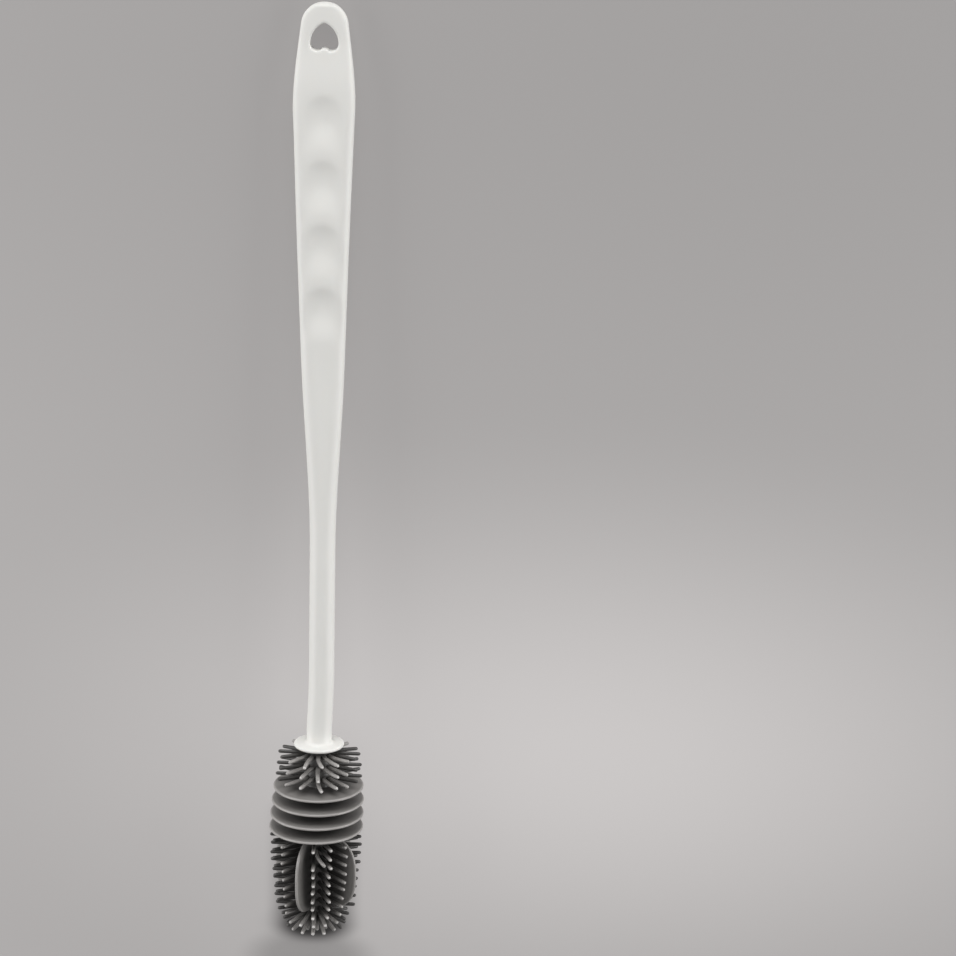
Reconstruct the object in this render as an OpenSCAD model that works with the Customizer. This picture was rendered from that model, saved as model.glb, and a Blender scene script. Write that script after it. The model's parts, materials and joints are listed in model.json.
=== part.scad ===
// Long-handled bottle brush, lying on its back as it comes to rest on a table.
//
// Two mouldings make it: a stiff plastic handle with a hanging hole, finger
// scoops, a round shaft and a collar, and a soft one-piece head with rings of
// bristles, scraper discs and blades, pushed on to a barbed spigot below the
// collar. Each is drawn upright on the brush's axis, with z up from the lowest
// bristle tip and the scoops facing -Y, and lie_down() then lays it to rest.

/* [Shaft and collar] */
// Diameter of the round shaft
shaft_d = 8.6; // [7.5:0.1:10]
// Length of the straight shaft, from the collar to the neck of the grip
shaft_len = 70.6; // [40:0.2:150]
// Diameter of the collar that covers the top of the head
collar_d = 17.2; // [14:0.2:22]
// Thickness of the collar at its rim
collar_t = 1.2; // [0.8:0.1:2.5]
// Radius of the fillet between collar and shaft
collar_fillet = 1.2; // [0.4:0.1:2.5]

/* [Grip] */
// Length of the neck, where the shaft widens into the grip
neck_len = 64; // [40:1:90]
// Width of the grip at the top of the neck
waist_w = 14.3; // [11:0.1:16]
// Length from the top of the neck to the shoulders
taper_len = 85; // [84:1:130]
// Width of the grip at its shoulders
shoulder_w = 20; // [17:0.2:26]
// Length from the shoulders to the rounded end
shoulder_len = 33; // [29:1:45]
// Radius of the rounded end, seen from the front
end_r = 7.6; // [7:0.1:8.4]
// Thickness of the grip at the shoulders
shoulder_t = 8.4; // [7:0.1:10]
// Thickness of the grip at the hanging hole
end_t = 5.6; // [4:0.1:7]
// Rounding of the edge round the end
end_round = 1.4; // [0.8:0.1:2]
// Squareness of the grip's section at the top of the neck, where 2 is an ellipse
grip_square = 2.8; // [2.2:0.1:4]
// Squareness of the section from the shoulders to the end
end_square = 4; // [2.2:0.1:5]

/* [Finger scoops] */
// Number of scoops down the front of the grip
scoop_count = 4; // [1:1:4]
// Distance from the rounded end to the top of the first scoop
scoop_drop = 28.2; // [26:0.2:32]
// Distance from one scoop to the next
scoop_pitch = 20.8; // [16:0.2:22]
// Length of a scoop
scoop_len = 19.5; // [14:0.5:22]
// Width of a scoop
scoop_w = 14.4; // [10:0.2:16]
// Depth of a scoop
scoop_depth = 1.3; // [0.4:0.1:1.6]
// Radius of the arch that a scoop's top edge makes
scoop_arch_r = 6; // [4:0.5:20]
// Length of the rounded wall at a scoop's top
scoop_wall = 2.2; // [1.5:0.1:4]
// Distance from a scoop's top edge to its deepest place
scoop_floor = 9.5; // [6:0.5:12]

/* [Hanging hole] */
// Width of the heart-shaped hole
hole_w = 9.1; // [7:0.1:10]
// Height of the hole
hole_h = 8.8; // [7:0.2:9.6]
// Distance from the rounded end to the top of the hole
hole_drop = 6.5; // [5:0.1:8]
// Radius of the hole's two lower lobes
hole_lobe_r = 2.2; // [1.6:0.1:2.6]
// Radius of the hole's peak
hole_peak_r = 1.2; // [0.6:0.1:1.5]
// Height of the small rise between the lobes
hole_notch = 0.8; // [0.3:0.1:1.2]

/* [Spigot and sleeve] */
// Diameter of the spigot inside the head
spigot_d = 5.2; // [4:0.1:5.6]
// Length of the spigot below the collar
spigot_len = 52; // [40:1:55]
// Number of barbs on the spigot
barb_count = 3; // [1:1:5]
// Height of a barb above the spigot
barb_h = 0.4; // [0.2:0.1:0.6]
// Gap between the spigot and the head
fit_gap = 0.1; // [0.05:0.05:0.2]
// Outer radius of the head's sleeve at its top
sleeve_top_r = 5; // [4.6:0.1:6]
// Outer radius of the head's sleeve at its domed end
sleeve_end_r = 4.4; // [4.2:0.1:5]

/* [Bristles] */
// Number of places around the sleeve for a bristle or a blade
stations = 16; // [12:4:16]
// Diameter of a bristle at its root
bristle_root_d = 1.4; // [1.1:0.1:1.6]
// Diameter of a bristle at its rounded tip
bristle_tip_d = 1.1; // [0.7:0.05:1.2]
// Number of bristle rings between collar and discs
top_rings = 3; // [1:1:4]
// Distance between those rings
top_pitch = 4.05; // [3.2:0.1:5]
// Distance from the collar down to the first ring
top_gap = 2.7; // [2:0.1:4]
// Radius at the tips of the first ring
top_tip_r = 14; // [11:0.1:15.5]
// Number of bristle rings below the discs
side_rings = 9; // [4:1:10]
// Distance between those rings
side_pitch = 3.2; // [2.6:0.1:4]
// Radius at the tips just below the discs
side_tip_r = 16; // [13:0.1:16.2]
// Radius at the tips of the lowest ring
tail_tip_r = 13.6; // [10:0.1:14]

/* [Discs] */
// Number of scraper discs
disc_count = 4; // [2:1:5]
// Distance between the discs
disc_pitch = 5; // [4:0.05:7]
// Thickness of a disc at its rim
disc_rim_t = 0.9; // [0.7:0.1:1.4]
// Thickness of a disc where it leaves the sleeve
disc_root_t = 1.6; // [1.4:0.1:2.2]
// Radius of the widest disc, the lowest
belly_r = 16.2; // [16:0.1:20]
// Distance from the lowest bristle ring above the discs to the first disc
ring_to_disc = 3.9; // [2.8:0.1:6]
// Distance from the last disc to the first bristle ring below
disc_to_ring = 3.59; // [2.2:0.01:4]

/* [Blades] */
// Number of upright blades below the discs
blade_count = 4; // [2:2:4]
// Radius of a blade's outer edge
blade_r = 15.5; // [12:0.1:16]
// Thickness of a blade
blade_t = 1.1; // [0.8:0.1:1.5]
// Length of a blade
blade_len = 27; // [20:0.5:30]
// Gap between a blade's top and the middle of the lowest disc
blade_gap = 2.6; // [1:0.1:4]
// Squareness of a blade's leaf shape, where 2 is half an ellipse
blade_square = 2.6; // [2:0.1:4]

/* [Domed end] */
// Height of the lowest side ring above the lowest bristle tip
tail_h = 8.5; // [7.5:0.1:12]
// Height of the dome's centre above the lowest bristle tip
dome_h = 7.4; // [6:0.1:9]
// Angle below level of the upper splayed ring
splay_upper = 13; // [10:1:18]
// Angle below level of the middle splayed ring
splay_middle = 31; // [26:1:36]
// Angle below level of the lower splayed ring
splay_lower = 55; // [50:1:62]
// Distance from the dome's centre to the tips of the upper splayed ring
splay_upper_len = 12.2; // [9:0.1:14]
// Distance from the dome's centre to the tips of the middle splayed ring
splay_middle_len = 12.2; // [9:0.1:13]
// Distance from the dome's centre to the tips of the lower splayed ring
splay_lower_len = 8.8; // [7.5:0.1:9]
// Number of bristles in the lower splayed ring
splay_lower_count = 8; // [5:1:8]

/* [Hidden] */

handle_colour = "whitesmoke";
head_colour = "dimgray";
$fn = 64;
bristle_fn = 16;          // sides that a bristle is drawn with
rim_steps = 4;            // chords round a disc's or the collar's rim
section_sides = 48;       // corners of the grip's section
grip_step = 4.5;          // height between the grip's plain sections
scoop_step = 1.8;         // height between its sections along the scoops
end_steps = 9;            // sections round the grip's end
eps = 0.01;

// Heights along the axis, from the lowest bristle tip
belly_h = tail_h + (side_rings - 1) * side_pitch + disc_to_ring;
first_disc_h = belly_h + (disc_count - 1) * disc_pitch;
last_ring_h = first_disc_h + ring_to_disc;
first_ring_h = last_ring_h + (top_rings - 1) * top_pitch;
head_h = first_ring_h + top_gap;
neck_h = head_h + shaft_len;
waist_h = neck_h + neck_len;
shoulder_h = waist_h + taper_len;
brush_h = shoulder_h + shoulder_len;

// ---- Grip: a loft of rounded sections ----

// How fast the grip widens along its taper, and how far the shoulder's curve
// reaches down it
taper_rate = (shoulder_w - waist_w) / taper_len;
crown_len = 7;
// The end's arc starts where the sides, closing at this angle, run into it
end_angle = 6.8;
end_c = brush_h - end_r;
end_start_h = end_c + end_r * sin(end_angle);
end_start_w = 2 * end_r * cos(end_angle);

// Each station of the outline: height, width, and change of width with height
outline = [
    [neck_h, shaft_d, 0],
    [waist_h, waist_w, taper_rate],
    [shoulder_h - crown_len, shoulder_w - crown_len * taper_rate, taper_rate],
    [shoulder_h, shoulder_w, 0],
    [end_start_h, end_start_w, -2 * tan(end_angle)]
];

function ease(u) = let (c = max(0, min(1, u))) c * c * (3 - 2 * c);

// Cubic between two stations of the outline that keeps both their slopes
function cubic(a, b, h) =
    let (l = b[0] - a[0], u = (h - a[0]) / l)
    (2 * u ^ 3 - 3 * u ^ 2 + 1) * a[1] + (3 * u ^ 2 - 2 * u ^ 3) * b[1]
    + l * ((u ^ 3 - 2 * u ^ 2 + u) * a[2] + (u ^ 3 - u ^ 2) * b[2]);

function station_at(h, i = 0) =
    i >= len(outline) - 2 || h < outline[i + 1][0] ? i : station_at(h, i + 1);

function grip_width(h) =
    h >= end_start_h
        ? 2 * sqrt(max(0, end_r ^ 2 - (h - end_c) ^ 2))
        : let (i = station_at(h)) cubic(outline[i], outline[i + 1], h);

// The grip thins from its first scoop to its end, and its rim is rounded over
scoops_top_h = brush_h - scoop_drop;
function flat_thickness(h) =
    h < scoops_top_h
        ? shaft_d + (shoulder_t - shaft_d) * ease((h - neck_h) / (shoulder_h - neck_h))
        : shoulder_t + (end_t - shoulder_t) * ease((h - scoops_top_h) / (hole_mid_h - scoops_top_h));
function grip_thickness(h) =
    let (d = min(brush_h - h, end_round))
    flat_thickness(h) * sqrt(max(0, 1 - (1 - d / end_round) ^ 2));

// A round section at the neck turns into a flatter, squarer one at the waist,
// with tighter edges still at the shoulders
function squareness(h) =
    2 + (grip_square - 2) * ease((h - neck_h) / neck_len)
    + (end_square - grip_square) * ease((h - waist_h) / taper_len);

function signed_power(v, p) = sign(v) * abs(v) ^ p;

// Depth along the middle of a scoop, at a distance below its top edge: a
// rounded wall, a floor that levels out and a long way back to the surface
function scoop_profile(b) =
    b <= 0 || b >= scoop_len ? 0
    : b <= scoop_wall ? b ^ 2 / (scoop_wall * scoop_floor)
    : b <= scoop_floor ? 1 - (scoop_floor - b) ^ 2 / (scoop_floor * (scoop_floor - scoop_wall))
    : 1 - ease((b - scoop_floor) / (scoop_len - scoop_floor));

// Depth of the scoops at any place on the front of the grip
function scoop_at(x, h) =
    let (half = min(scoop_w, grip_width(h)) / 2,
        across = max(0, 1 - (x / half) ^ 2) ^ 1.5,
        below = scoops_top_h - x ^ 2 / (2 * scoop_arch_r) - h)
    scoop_depth * across
        * max([for (i = [0 : scoop_count - 1]) scoop_profile(below - i * scoop_pitch)]);

function grip_section(h) =
    let (w = grip_width(h), t = grip_thickness(h), n = squareness(h))
    [for (i = [0 : section_sides - 1])
        let (a = 360 * i / section_sides,
            x = w / 2 * cos(a),
            y = t / 2 * sign(sin(a)) * max(0, 1 - abs(cos(a)) ^ n) ^ (1 / n))
        [x, y < 0 ? y + scoop_at(x, h) : y, h]];

// Sections up the neck, closer ones along the scoops, and more round the end
// by equal angles
function evenly(low, high, step) =
    let (n = ceil((high - low) / step))
    [for (i = [0 : n - 1]) low + (high - low) * i / n];
scoop_arch_drop = scoop_w ^ 2 / (8 * scoop_arch_r);
scoops_low_h = scoops_top_h - (scoop_count - 1) * scoop_pitch - scoop_len - scoop_arch_drop;
grip_heights = concat(
    evenly(neck_h, scoops_low_h, grip_step),
    evenly(scoops_low_h, scoops_top_h, scoop_step),
    evenly(scoops_top_h, end_start_h, grip_step),
    [for (i = [0 : end_steps - 1])
        end_c + end_r * sin(end_angle + (89 - end_angle) * i / (end_steps - 1))]);

// The loft's foot is a hair slimmer than the shaft that it grows from
foot_inset = 0.05;
foot_depth = 2;
grip_foot = [for (h = [neck_h - foot_depth, neck_h])
    [for (p = grip_section(neck_h))
        let (s = 1 - 2 * foot_inset / shaft_d) [p.x * s, p.y * s, h]]];

module grip_blank() {
    rings = concat([grip_foot[0]], [grip_foot[1]],
        [for (i = [1 : len(grip_heights) - 1]) grip_section(grip_heights[i])]);
    n = section_sides;
    last = len(rings) - 1;
    polyhedron(
        points = [for (r = rings) each r],
        faces = concat(
            [[for (i = [0 : n - 1]) i]],
            [for (r = [0 : last - 1], i = [0 : n - 1])
                let (j = (i + 1) % n)
                [r * n + i, (r + 1) * n + i, (r + 1) * n + j, r * n + j]],
            [[for (i = [n - 1 : -1 : 0]) last * n + i]]),
        convexity = 4);
}

// ---- Hanging hole ----

hole_top_h = brush_h - hole_drop;
hole_low_h = hole_top_h - hole_h;
hole_mid_h = (hole_top_h + hole_low_h) / 2;
hole_notch_r = 1.6;
// The heart's sides bow out, and run smoothly into its lobes and its peak
hole_climb = hole_h - hole_lobe_r - hole_peak_r;
hole_side_r = (hole_w ^ 2 / 4 + hole_climb ^ 2 - hole_peak_r ^ 2) / (hole_w - 2 * hole_peak_r);

function arc_points(c, r, from, to, steps) =
    [for (i = [0 : steps])
        let (a = from + (to - from) * i / steps)
        [c.x + r * cos(a), c.y + r * sin(a)]];

// The right half of the heart, from the rise between its lobes to its peak
function heart_half() =
    let (lobe = [hole_w / 2 - hole_lobe_r, hole_low_h + hole_lobe_r],
        side = [hole_w / 2 - hole_side_r, lobe.y],
        side_end = atan2(hole_climb, -side.x))
    concat(
        arc_points([0, hole_low_h + hole_notch - hole_notch_r], hole_notch_r,
            90, asin(1 - hole_notch / hole_notch_r), 3),
        arc_points(lobe, hole_lobe_r, -90, 0, 8),
        arc_points(side, hole_side_r, side_end / 8, side_end, 7),
        arc_points([0, hole_top_h - hole_peak_r], hole_peak_r, side_end, 90, 3));

// A heart with its point up, drawn in x and height
module heart() {
    right = heart_half();
    polygon(concat(right, [for (i = [len(right) - 1 : -1 : 0]) [-right[i].x, right[i].y]]));
}

module hang_hole() {
    rotate([90, 0, 0])
        linear_extrude(height = 2 * shoulder_t, center = true)
            heart();
}

// ---- Shaft, collar and spigot: one turned profile ----

spigot_end_h = head_h - spigot_len;
spigot_chamfer = 0.8;
barb_ramp = 1.8;
barb_pitch = spigot_len / (barb_count + 1);

// Radius and height of the spigot's outline, grown by a gap for the bore
function spigot_outline(gap) =
    let (r = spigot_d / 2 + gap, low = spigot_end_h - gap)
    concat(
        [[0, low], [r - spigot_chamfer, low], [r, low + spigot_chamfer]],
        [for (i = [1 : barb_count])
            let (top = spigot_end_h + i * barb_pitch)
            each [[r, top - barb_ramp], [r + barb_h, top + gap], [r, top + gap]]]);

// Half a turn round a rim: points from its underside to its top
function rim(r, low, t) =
    [for (i = [0 : rim_steps])
        let (a = -90 + 180 * i / rim_steps)
        [r - t / 2 + t / 2 * cos(a), low + t / 2 + t / 2 * sin(a)]];

function collar_fillet_points() =
    let (c = [shaft_d / 2 + collar_fillet, head_h + collar_t + collar_fillet])
    [for (i = [0 : rim_steps])
        let (a = -90 - 90 * i / rim_steps)
        [c.x + collar_fillet * cos(a), c.y + collar_fillet * sin(a)]];

module shaft_and_spigot() {
    rotate_extrude()
        polygon(concat(
            spigot_outline(0),
            [[spigot_d / 2, head_h]],
            rim(collar_d / 2, head_h, collar_t),
            collar_fillet_points(),
            [[shaft_d / 2, neck_h], [0, neck_h]]));
}

// ---- Brush head ----

station_angle = 360 / stations;
stations_per_blade = stations / blade_count;
// The first blade stands one station to the left of the front
blade_station = -1;

// Radius at which the head is as wide as it may be above its widest disc
function barrel_r(h) =
    belly_r - (belly_r - top_tip_r) * ((h - belly_h) / (first_ring_h - belly_h)) ^ 2;
// Radius at the tips of the bristles below the discs
function side_r(h) =
    side_tip_r - (side_tip_r - tail_tip_r) * ((belly_h - h) / (belly_h - tail_h)) ^ 2;
// Outer radius of the sleeve
function sleeve_r(h) =
    sleeve_end_r + (sleeve_top_r - sleeve_end_r) * (h - dome_h) / (head_h - dome_h);

function disc_h(i) = belly_h + i * disc_pitch;

// One disc's outline, thinner at its rounded rim than at its root
function disc_outline(i) =
    let (h = disc_h(i), r = sleeve_r(h) - eps)
    concat([[r, h - disc_root_t / 2]],
        rim(barrel_r(h), h - disc_rim_t / 2, disc_rim_t),
        [[r, h + disc_root_t / 2]]);

function dome_outline() =
    [for (i = [0 : 6])
        let (a = -90 + 15 * i)
        [sleeve_end_r * cos(a), dome_h + sleeve_end_r * sin(a)]];

module sleeve_and_discs() {
    difference() {
        rotate_extrude()
            polygon(concat(
                dome_outline(),
                [for (i = [0 : disc_count - 1]) each disc_outline(i)],
                [[sleeve_top_r, head_h], [0, head_h]]));
        rotate_extrude()
            polygon(concat(
                spigot_outline(fit_gap),
                [[spigot_d / 2 + fit_gap, head_h + 1], [0, head_h + 1]]));
    }
}

// A tapered bristle with a ball tip, along +Z from its root out to its reach
module bristle(reach, root) {
    tip_r = bristle_tip_d / 2;
    translate([0, 0, root])
        cylinder(d1 = bristle_root_d, d2 = bristle_tip_d, h = reach - tip_r - root,
            $fn = bristle_fn);
    translate([0, 0, reach - tip_r])
        sphere(r = tip_r, $fn = bristle_fn);
}

// Points a bristle away from the axis at one station, tilted down by an angle
module aimed(angle, h, down = 0) {
    translate([0, 0, h])
        rotate([0, 0, angle])
            rotate([90 + down, 0, 0])
                children();
}

root_depth = 0.65;        // how far a bristle's root is sunk in the sleeve

module bristle_ring(h, reach, places) {
    for (i = places)
        aimed(i * station_angle, h)
            bristle(reach, sleeve_r(h) - root_depth);
}

function is_blade(i) = (i - blade_station) % stations_per_blade == 0;

all_places = [for (i = [0 : stations - 1]) i];
side_places = [for (i = all_places) if (!is_blade(i)) i];

module top_bristles() {
    for (i = [0 : top_rings - 1]) {
        h = first_ring_h - i * top_pitch;
        bristle_ring(h, barrel_r(h), all_places);
    }
}

module side_bristles() {
    for (i = [0 : side_rings - 1]) {
        h = tail_h + i * side_pitch;
        bristle_ring(h, side_r(h), side_places);
    }
}

module splayed_ring(down, reach, count, turn) {
    for (i = [0 : count - 1])
        aimed(turn + i * 360 / count, dome_h, down)
            bristle(reach, sleeve_end_r - root_depth);
}

module domed_end() {
    splayed_ring(splay_upper, splay_upper_len, stations, 0);
    splayed_ring(splay_middle, splay_middle_len, stations, 0);
    splayed_ring(splay_lower, splay_lower_len, splay_lower_count, station_angle / 2);
    splayed_ring(90, dome_h, 1, 0);
}

// An upright blade shaped like half a leaf, in radius and height
module blade_outline() {
    root = sleeve_end_r - root_depth;
    mid = belly_h - blade_gap - blade_len / 2;
    p = 2 / blade_square;
    polygon([for (i = [0 : 24])
        let (a = -90 + 180 * i / 24)
        [root + (blade_r - root) * signed_power(max(0, cos(a)), p),
            mid + blade_len / 2 * signed_power(sin(a), p)]]);
}

module blades() {
    for (i = [0 : blade_count - 1])
        rotate([0, 0, (blade_station + i * stations_per_blade) * station_angle - 90])
            rotate([90, 0, 0])
                linear_extrude(height = blade_t, center = true)
                    blade_outline();
}

// ---- Rest ----

// Slope of the line that lies under both the discs and the back of the grip
grip_back = [for (h = grip_heights) [h, grip_thickness(h) / 2]];
disc_rims = [for (i = [0 : disc_count - 1]) [disc_h(i), barrel_r(disc_h(i))]];
rest_slope = max([for (d = disc_rims)
    min([for (b = grip_back) (d[1] - b[1]) / (b[0] - d[0])])]);
rest_tilt = atan(rest_slope);
rest_drop = max([for (d = disc_rims) d[1] * cos(rest_tilt) + d[0] * sin(rest_tilt)]);
// Middle of the lying brush, between its rounded end and its lowest splayed tips
tail_y = min([for (s = [[splay_upper, splay_upper_len], [splay_middle, splay_middle_len],
        [splay_lower, splay_lower_len], [90, dome_h]])
    (dome_h - s[1] * sin(s[0])) * cos(rest_tilt) - s[1] * cos(s[0]) * sin(rest_tilt)]);
mid_y = (brush_h * cos(rest_tilt) + tail_y) / 2;

module lie_down() {
    translate([0, -mid_y, rest_drop])
        rotate([-90 - rest_tilt, 0, 0])
            children();
}

// ---- Nodes ----

module handle() {
    color(handle_colour)
        lie_down()
            union() {
                shaft_and_spigot();
                difference() {
                    grip_blank();
                    hang_hole();
                }
            }
}

module brush_head() {
    color(head_colour)
        lie_down()
            union() {
                sleeve_and_discs();
                blades();
                top_bristles();
                side_bristles();
                domed_end();
            }
}

handle();
brush_head();
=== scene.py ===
# A long-handled bottle brush lying on its back: a stiff white plastic handle,
# and a soft dark grey head of bristles, scraper discs and blades pushed on to it.
import json
import math

import bmesh
import bpy
from mathutils import Matrix, Vector


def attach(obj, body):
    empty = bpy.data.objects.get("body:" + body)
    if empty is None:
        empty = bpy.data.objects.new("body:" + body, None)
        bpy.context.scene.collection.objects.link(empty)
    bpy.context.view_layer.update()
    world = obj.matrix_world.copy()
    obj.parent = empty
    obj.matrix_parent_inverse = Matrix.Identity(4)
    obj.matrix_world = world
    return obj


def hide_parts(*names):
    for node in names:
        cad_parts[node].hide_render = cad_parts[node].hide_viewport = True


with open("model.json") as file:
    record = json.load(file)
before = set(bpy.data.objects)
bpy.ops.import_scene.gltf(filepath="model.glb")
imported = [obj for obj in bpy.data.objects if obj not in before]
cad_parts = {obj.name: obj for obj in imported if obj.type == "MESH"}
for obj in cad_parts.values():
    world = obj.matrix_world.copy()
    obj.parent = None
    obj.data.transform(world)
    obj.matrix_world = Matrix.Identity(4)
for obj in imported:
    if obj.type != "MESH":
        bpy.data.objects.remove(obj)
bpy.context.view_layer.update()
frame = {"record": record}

# ---- Handle -------------------------------------------------------------
# One white polypropylene moulding. Its section runs from a barbed spigot, hidden
# in the head, through a thin collar and a round shaft to a flat rounded grip
# with four finger scoops and a heart-shaped hanging hole.
HEAD_H = 67.39            # heights are in millimetres from the lowest bristle tip
SHAFT_R = 4.3
COLLAR_R = 8.6
COLLAR_T = 1.2
COLLAR_FILLET = 1.2
SPIGOT_R = 2.6
SPIGOT_LEN = 52
SPIGOT_CHAMFER = 0.8
BARB_COUNT = 3
BARB_H = 0.4
BARB_RAMP = 1.8
NECK_H = HEAD_H + 70.6
WAIST_H = NECK_H + 64
SHOULDER_H = WAIST_H + 85
END_H = SHOULDER_H + 33
WAIST_W = 14.3
SHOULDER_W = 20
CROWN_LEN = 7
END_R = 7.6
END_ANGLE = math.radians(6.8)
SHOULDER_T = 8.4
END_T = 5.6
END_ROUND = 1.4
GRIP_SQUARE = 2.8
END_SQUARE = 4
SCOOP_COUNT = 4
SCOOP_TOP_H = END_H - 28.2
SCOOP_PITCH = 20.8
SCOOP_LEN = 19.5
SCOOP_W = 14.4
SCOOP_DEPTH = 1.3
SCOOP_ARCH_R = 6
SCOOP_WALL = 2.2
SCOOP_FLOOR = 9.5
HOLE_W = 9.1
HOLE_H = 8.8
HOLE_DROP = 6.5
HOLE_MID_H = END_H - HOLE_DROP - HOLE_H / 2
LOBE_R = 2.2
PEAK_R = 1.2
NOTCH = 0.8
NOTCH_R = 1.6
HOLE_EDGE_R = 0.7
SEAM = 14                 # how high the mould's seam stands, where 1 is the grain's height
BOW = 0.67                # how far the long shaft strays to one side
BOW_END_H = 255           # where it has come back, with the lengths of its two ends
BOW_UPPER = 110
BOW_LOWER = 25
SHAFT_STEP = 4            # heights between sections
NECK_STEP = 2.5
SCOOP_STEP = 0.8
CROWN_STEP = 1.2
SCOOP_MARGIN = 4

# Every piece is drawn upright on the brush's axis, in millimetres, with the
# scoops facing -y. LAID puts it in the frame, by the place and the direction
# that the hanging hole has there.
HANG_HOLE = next(m for m in frame["record"]["mounts"] if m["name"] == "hang_hole")
MM = 0.001
FRONT = Vector(HANG_HOLE["axis"]).normalized()
ACROSS = Vector((1, 0, 0))
ALONG = FRONT.cross(ACROSS)
LAID = (Matrix.Translation(Vector(HANG_HOLE["pos_m"]) - ALONG * HOLE_MID_H * MM)
        @ Matrix((ACROSS, -FRONT, ALONG)).transposed().to_4x4()
        @ Matrix.Scale(MM, 4))

END_C = END_H - END_R
END_START_H = END_C + END_R * math.sin(END_ANGLE)
TAPER_RATE = (SHOULDER_W - WAIST_W) / (SHOULDER_H - WAIST_H)
OUTLINE = [
    (NECK_H, 2 * SHAFT_R, 0),
    (WAIST_H, WAIST_W, TAPER_RATE),
    (SHOULDER_H - CROWN_LEN, SHOULDER_W - CROWN_LEN * TAPER_RATE, TAPER_RATE),
    (SHOULDER_H, SHOULDER_W, 0),
    (END_START_H, 2 * END_R * math.cos(END_ANGLE), -2 * math.tan(END_ANGLE)),
]


def ease(u):
    u = min(max(u, 0.0), 1.0)
    return u * u * (3 - 2 * u)


def mix(a, b, u):
    return a + (b - a) * u


def cubic(a, b, h):
    """Width between two stations of the outline, keeping both their slopes."""
    reach = b[0] - a[0]
    u = (h - a[0]) / reach
    return ((2 * u**3 - 3 * u**2 + 1) * a[1] + (3 * u**2 - 2 * u**3) * b[1]
            + reach * ((u**3 - 2 * u**2 + u) * a[2] + (u**3 - u**2) * b[2]))


def grip_width(h):
    if h >= END_START_H:
        return 2 * math.sqrt(max(0.0, END_R**2 - (h - END_C) ** 2))
    lower = max(i for i in range(len(OUTLINE) - 1) if h >= OUTLINE[i][0] or i == 0)
    return cubic(OUTLINE[lower], OUTLINE[lower + 1], max(h, NECK_H))


def grip_thickness(h):
    if h < SCOOP_TOP_H:
        t = mix(2 * SHAFT_R, SHOULDER_T, ease((h - NECK_H) / (SHOULDER_H - NECK_H)))
    else:
        t = mix(SHOULDER_T, END_T, ease((h - SCOOP_TOP_H) / (HOLE_MID_H - SCOOP_TOP_H)))
    d = min(END_H - h, END_ROUND)
    return t * math.sqrt(max(0.0, 1 - (1 - d / END_ROUND) ** 2))


def squareness(h):
    waist = mix(2, GRIP_SQUARE, ease((h - NECK_H) / (WAIST_H - NECK_H)))
    return waist + (END_SQUARE - GRIP_SQUARE) * ease((h - WAIST_H) / (SHOULDER_H - WAIST_H))


def half_depth(x, h):
    """How far the grip's front or back stands off its middle plane."""
    n = squareness(h)
    share = min(abs(2 * x) / max(grip_width(h), 1e-6), 1.0)
    return grip_thickness(h) / 2 * (1 - share**n) ** (1 / n)


def scoop_drop(x, h):
    """Depth of the finger scoops: an arched wall, a sloping floor and a long way out."""
    half = min(SCOOP_W, max(grip_width(h), 1e-6)) / 2
    across = max(0.0, 1 - (x / half) ** 2) ** 1.5
    depth = 0.0
    for i in range(SCOOP_COUNT):
        below = SCOOP_TOP_H - i * SCOOP_PITCH - x * x / (2 * SCOOP_ARCH_R) - h
        if 0 < below <= SCOOP_WALL:
            depth += below**2 / (SCOOP_WALL * SCOOP_FLOOR)
        elif SCOOP_WALL < below <= SCOOP_FLOOR:
            depth += 1 - (SCOOP_FLOOR - below) ** 2 / (SCOOP_FLOOR * (SCOOP_FLOOR - SCOOP_WALL))
        elif SCOOP_FLOOR < below < SCOOP_LEN:
            depth += 1 - ease((below - SCOOP_FLOOR) / (SCOOP_LEN - SCOOP_FLOOR))
    return SCOOP_DEPTH * across * depth


def heart_half():
    """Right half of the hole's outline, from the rise between the lobes to the peak."""
    lobe = Vector((HOLE_W / 2 - LOBE_R, HOLE_MID_H - HOLE_H / 2 + LOBE_R))
    peak = Vector((0, HOLE_MID_H + HOLE_H / 2 - PEAK_R))
    climb = peak.y - lobe.y
    side_r = ((HOLE_W**2 / 4 + climb**2 - PEAK_R**2) / (HOLE_W - 2 * PEAK_R))
    side = Vector((HOLE_W / 2 - side_r, lobe.y))
    side_end = math.atan2(climb, -side.x)
    rise = Vector((0, lobe.y - LOBE_R + NOTCH - NOTCH_R))
    rise_end = math.asin((NOTCH_R - NOTCH) / NOTCH_R)
    points = []
    for centre, r, start, end, steps in (
            (rise, NOTCH_R, math.pi / 2, rise_end, 6),
            (lobe, LOBE_R, -math.pi / 2, 0, 14),
            (side, side_r, 0, side_end, 12),
            (peak, PEAK_R, side_end, math.pi / 2, 6)):
        for i in range(steps + 1):
            angle = mix(start, end, i / steps)
            points.append(centre + r * Vector((math.cos(angle), math.sin(angle))))
    return points


HEART_HALF = heart_half()


def hole_wall(ray):
    """Distance from the hole's middle to its wall, along a ray in x and height."""
    ray = Vector((abs(ray.x), ray.y))
    middle = Vector((0, HOLE_MID_H))
    hits = []
    for a, b in zip(HEART_HALF, HEART_HALF[1:]):
        a, b = a - middle, b - middle
        off_a, off_b = ray.cross(a), ray.cross(b)
        if off_a * off_b <= 0 and off_a != off_b:
            hit = a.lerp(b, off_a / (off_a - off_b)).dot(ray)
            if hit > 0:
                hits.append(hit)
    return min(hits)


HALF_SIDES = 32           # steps across the front, and across the back
PATCH_H = 300.5           # where the lofted sections meet the patch round the hole
RIM_STEPS = 64            # steps round the end's rim
EDGE_RINGS = 6
FIELD_RINGS = 14
WALL_RINGS = 4


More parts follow.
